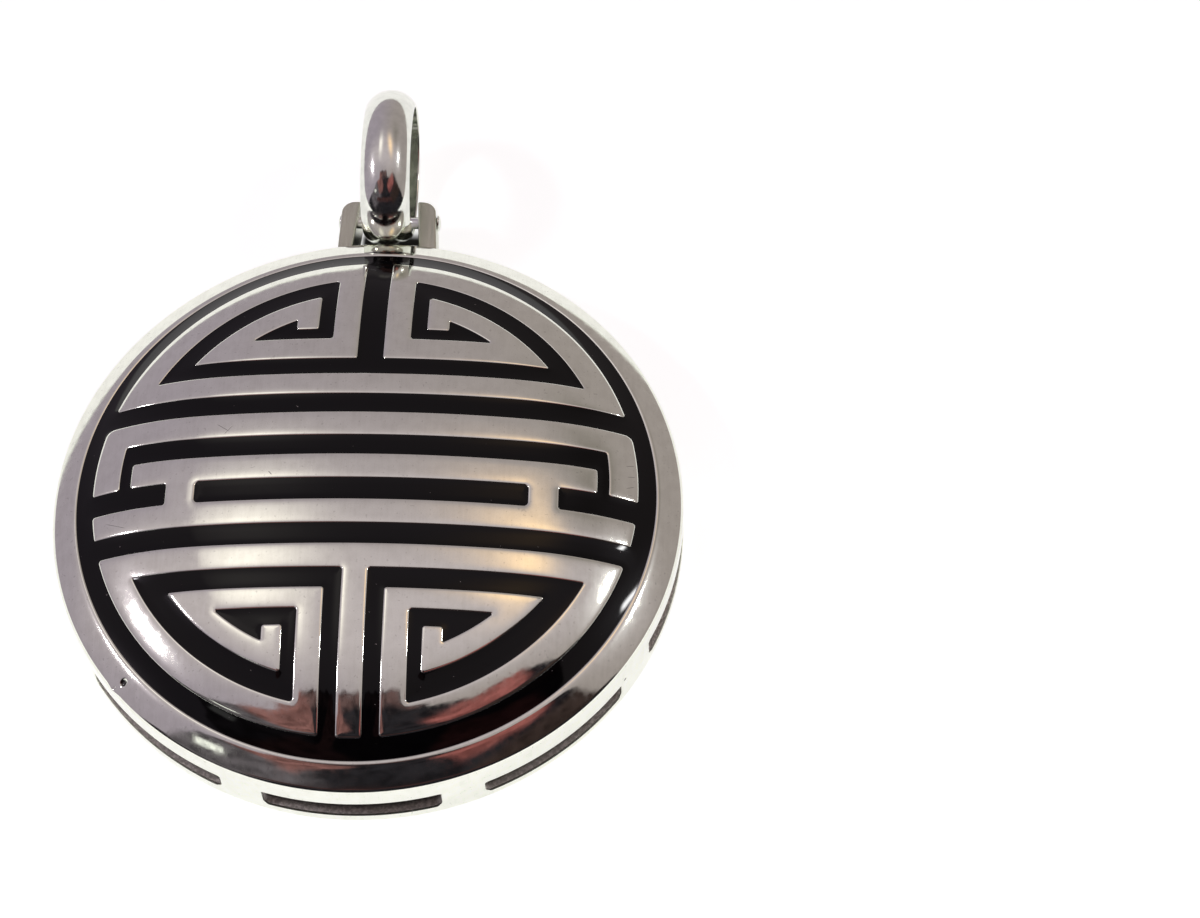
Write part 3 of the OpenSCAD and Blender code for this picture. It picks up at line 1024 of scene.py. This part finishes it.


# Floor, in millimetres: pale, with a little light of its own, more in front of the pendant than
# behind it, and a painted shadow between the ears: a dark patch with no light of its own.
FLOOR_COLOUR = (0.5, 0.5, 0.5)
FLOOR_LIGHT = (0.92, 0.77)
FLOOR_CHANGE = (-25, 20)
# Painted shadow: the dark colour laid on the floor between the ears.
PAINTED_SHADOW_COLOUR = (0.05, 0.05, 0.05)
PAINTED_SHADOW_HALF_X = 2.05
# Where the painted shadow begins and is full, and where it begins to fade and ends.
PAINTED_SHADOW_START = (17.4, 17.8)
PAINTED_SHADOW_END = (21.2, 20.4)
PAINTED_SHADOW_SOFT = 0.4
FLOOR_HALF = 1500


def floor_with_painted_shadow():
    """The floor's material."""
    material, tree, shader, place = new_material("pale_floor")
    x, y = tree.dot(place, (1, 0, 0)), tree.dot(place, (0, 1, 0))
    half = PAINTED_SHADOW_HALF_X * MM
    # The painted shadow's mask; inside it the floor also loses its own light.
    painted_shadow = tree.ramp(tree.maths("ABSOLUTE", x), half, half - PAINTED_SHADOW_SOFT * MM)
    for reach in (PAINTED_SHADOW_START, PAINTED_SHADOW_END):
        painted_shadow = tree.maths("MULTIPLY", painted_shadow, tree.ramp(y, *(v * MM for v in reach)))
    light = tree.ramp(y, *(v * MM for v in FLOOR_CHANGE), *FLOOR_LIGHT)
    light = tree.maths("MULTIPLY", light, tree.maths("SUBTRACT", 1.0, painted_shadow))
    tree.fill(shader, Base_Color=tree.mix(painted_shadow, FLOOR_COLOUR, PAINTED_SHADOW_COLOUR), Roughness=0.9,
              Specular_IOR_Level=0.1, Emission_Color=(1, 1, 1, 1), Emission_Strength=light)
    return material


# Light: a grey room with soft panels. Places are degrees from straight up, to +X and +Y.
# The ceiling is a little warmer on the right. Below the horizon there is the floor's own white.
CEILING = ((0.4, 0.345, 0.41), (0.39, 0.338, 0.335))
CEILING_CHANGE = (-0.6, 0.4)
BELOW = (0.95, 0.95, 0.9)
HORIZON = 0.03
# Panels with soft edges: place, width, height, softness, turn and colour.
PANELS = (
    (-50, -1.5, 3, 9, 1.5, 20, (60, 58, 60)),
    (49.5, 9, 2.2, 6, 1, 12, (60, 60, 60)),
)
# Glows that fade from their middle: place, half width, half height, turn, how far from the middle
# they are cut off to the left (or none), and colour.
GLOWS = (
    (-4, 8, 62, 21, 0, None, (0.6, 0.525, 0.565)),
    (32, 34, 9, 13, 0, None, (0.29, 0.255, 0.24)),
    (-50, -1, 6, 9, 15, None, (1.3, 1.14, 1.32)),
    (49.5, 9, 6.5, 9, 0, None, (1.05, 0.98, 1.02)),
    (-18.5, 17, 6.5, 11.5, 0, 7, (1.35, 1.24, 1.2)),
    (16.5, 17, 6.5, 12, 30, None, (1.35, 0.96, 0.65)),
)
GLOW_CUT_SOFT = 0.015
# How far a direction has to face a panel or glow before that shows, and to show it in full.
FACING = (0.02, 0.1)
# The dark side of the room lies below a ragged edge. The edge's height changes across the room:
# from one x to another it moves by an amount.
DARK = (0.02, 0.018, 0.022)
DARK_EDGE = -0.25
DARK_STEPS = ((-0.31, -0.37, -0.13), (-0.55, -0.7, -0.05), (0.12, 0.18, -0.11), (0.33, 0.42, 0.1),
              (0.44, 0.5, 0.04), (0.6, 0.75, -0.05))
DARK_SOFT = 0.012
# Noise that moves its edge about: scale and amount. Clouds in it: scale, and darkest and brightest.
RAGGED = (9, 0.09)
CLOUD_SCALE = 14
CLOUDS = (0.55, 1.3)
# Patches of colour in the dark side, and a small pale card in front of it, given as panels are.
TINTS = (
    (-40, -36, 40, 40, 4, 0, (0.12, 0.105, 0.12)),
    (-6, -18, 26, 6, 2, 0, (0.12, 0.07, 0.07)),
    (-19, -28, 18, 22, 2, 25, (0.24, 0.11, 0.105)),
    (24.5, -26, 14, 24, 2, -38, (0.31, 0.1, 0.095)),
    (47, -33, 22, 40, 2, -20, (0.04, 0.026, 0.024)),
    (0, -54, 60, 8, 3, 0, (0.06, 0.028, 0.028)),
)
CARD = (-40, -32.5, 7, 3, 0.5, -35, (1.3, 1.3, 1.25))


def from_zenith(x, y):
    """The direction that lies so many degrees from straight up, to +X and to +Y."""
    angle = math.radians(math.hypot(x, y))
    turn = math.atan2(y, x)
    return Vector((math.sin(angle) * math.cos(turn), math.sin(angle) * math.sin(turn), math.cos(angle)))


class Room(Tree):
    """The world's nodes."""

    def across(self, place, x, y, turn):
        """Position on the plane that faces a direction, along its two axes, and how far that faces it."""
        centre = from_zenith(x, y)
        side = Vector((0, 1, 0)).cross(centre).normalized()
        side.rotate(Matrix.Rotation(math.radians(turn), 3, centre))
        up = centre.cross(side)
        ahead = self.maths("MAXIMUM", self.dot(place, centre), FACING[0])
        facing = self.ramp(self.dot(place, centre), *FACING)
        return [self.maths("DIVIDE", self.dot(place, axis), ahead) for axis in (side, up)], facing

    def panel(self, place, x, y, width, height, soft, turn):
        """A mask for a soft-edged rectangle, its sizes in degrees."""
        axes, mask = self.across(place, x, y, turn)
        blur = math.tan(math.radians(soft))
        for value, size in zip(axes, (width, height)):
            edge = math.tan(math.radians(size / 2))
            inner = max(edge - blur, 0)
            mask = self.maths("MULTIPLY", mask,
                              self.ramp(self.maths("ABSOLUTE", value), edge + blur, inner))
        return mask

    def glow(self, place, x, y, width, height, turn, cut):
        """A mask that fades from its middle."""
        axes, facing = self.across(place, x, y, turn)
        total = 0.0
        for value, size in zip(axes, (width, height)):
            scaled = self.maths("DIVIDE", value, math.tan(math.radians(size)))
            total = self.maths("ADD", self.maths("MULTIPLY", scaled, scaled), total)
        mask = self.maths("MULTIPLY", self.maths("EXPONENT", self.maths("MULTIPLY", total, -1)), facing)
        if cut:
            end = -math.tan(math.radians(cut))
            kept = self.ramp(axes[0], end - GLOW_CUT_SOFT, end + GLOW_CUT_SOFT)
            mask = self.maths("MULTIPLY", mask, kept)
        return mask

    def laid(self, colour, mask, place, rows):
        """A colour with each row's light laid over it, as far as the mask of the row's shape says."""
        for *shape, light in rows:
            colour = self.mix(mask(place, *shape), colour, light)
        return colour

    def dark_side(self, place):
        """One below the ragged edge of the dark side."""
        x = self.dot(place, (1, 0, 0))
        edge = DARK_EDGE
        for start, end, amount in DARK_STEPS:
            edge = self.maths("ADD", edge, self.ramp(x, start, end, 0.0, amount))
        above = self.maths("SUBTRACT", self.dot(place, (0, 1, 0)), edge)
        return self.ramp(above, DARK_SOFT, -DARK_SOFT)

    def ragged(self, place):
        """A direction moved about by noise."""
        scale, amount = RAGGED
        noise = self.node("ShaderNodeTexNoise", Vector=place, Scale=scale, Detail=4.0)
        move, _ = self.vector("MULTIPLY_ADD", noise.outputs["Color"], (amount,) * 3, (-amount / 2,) * 3)
        return self.vector("ADD", place, move)[0]


def world_light():
    """The room as the world's light."""
    world = bpy.data.worlds.new("room")
    bpy.context.scene.world = world
    room = Room(world)
    back = room.nodes["Background"]
    place = room.nodes.new("ShaderNodeTexCoord").outputs["Generated"]
    ragged = room.ragged(place)
    colour = room.mix(room.ramp(room.dot(place, (1, 0, 0)), *CEILING_CHANGE), *CEILING)
    colour = room.laid(colour, room.glow, place, GLOWS)
    colour = room.laid(colour, room.panel, place, PANELS)
    dark = room.laid(DARK, room.panel, ragged, TINTS)
    cloud = room.ramp(room.noise(place, CLOUD_SCALE, 4), 0.35, 0.65, *CLOUDS)
    shaded = room.nodes.new("ShaderNodeVectorMath")
    shaded.operation = "SCALE"
    room.links.new(dark, shaded.inputs[0])
    room.links.new(cloud, shaded.inputs["Scale"])
    colour = room.mix(room.dark_side(ragged), colour, shaded.outputs[0])
    colour = room.laid(colour, room.panel, place, [CARD])
    colour = room.mix(room.ramp(room.dot(place, (0, 0, 1)), 0.0, HORIZON), BELOW, colour)
    room.links.new(colour, back.inputs["Color"])
    back.inputs["Strength"].default_value = 1.0


# Camera: its lens, place and the directions to its right and its top.
LENS = 96.417
SENSOR = 36
CAMERA_PLACE = Vector((18.55407, -88.49856, 160.12498))
CAMERA_RIGHT = Vector((0.99947545, 0.02407698, -0.02165946))
CAMERA_UP = Vector((-0.00982563, 0.86271197, 0.50560015))


def camera():
    """The camera, in front of the pendant and well above it."""
    data = bpy.data.cameras.new("camera")
    data.lens = LENS
    data.sensor_width = SENSOR
    data.clip_start = 0.01
    piece = bpy.data.objects.new("camera", data)
    bpy.context.scene.collection.objects.link(piece)
    turn = Matrix((CAMERA_RIGHT, CAMERA_UP, CAMERA_RIGHT.cross(CAMERA_UP))).transposed().to_4x4()
    piece.matrix_world = Matrix.Translation(CAMERA_PLACE * MM) @ turn
    bpy.context.scene.camera = piece


def floor():
    """The pale floor that the pendant lies on, with a painted shadow between the ears."""
    half = FLOOR_HALF
    corners = [(-half, -half, 0), (half, -half, 0), (half, half, 0), (-half, half, 0)]
    mesh_object("floor", corners, [(0, 1, 2, 3)], [floor_with_painted_shadow()])


def dress(piece, body, node):
    """Says what a piece rides on, and hides the node that it stands for."""
    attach(piece, body)
    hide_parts(node)


camera()
world_light()
floor()
bpy.context.scene.view_settings.view_transform = "Standard"

silver, dull, brushed = polished_silver(), dull_silver(), brushed_silver()
ring_silver, enamel = bail_silver(), black_enamel()

case_shell = Shell()
plan, black, distance, away = case_front(case_shell)
case_sides(case_shell)
dress(case_shell.mesh("case_silver", [silver, dull]), "pendant", "case")
for ear_name in EAR_PLANS:
    dress(ear(ear_name, brushed), "pendant", "case")
in_slot = inside(CLOSED_SLOT, plan[black].mean(1))
for name, part, node in (("enamel_fill", ~in_slot, "enamel_field"),
                         ("enamel_bar_fill", in_slot, "enamel_bar")):
    dress(enamel_piece(name, plan, black[part], distance, away, enamel), "pendant", node)
dress(pin_rivet(ring_silver), "pendant", "hinge_pin")
dress(bail_ring(ring_silver), "bail", "bail")
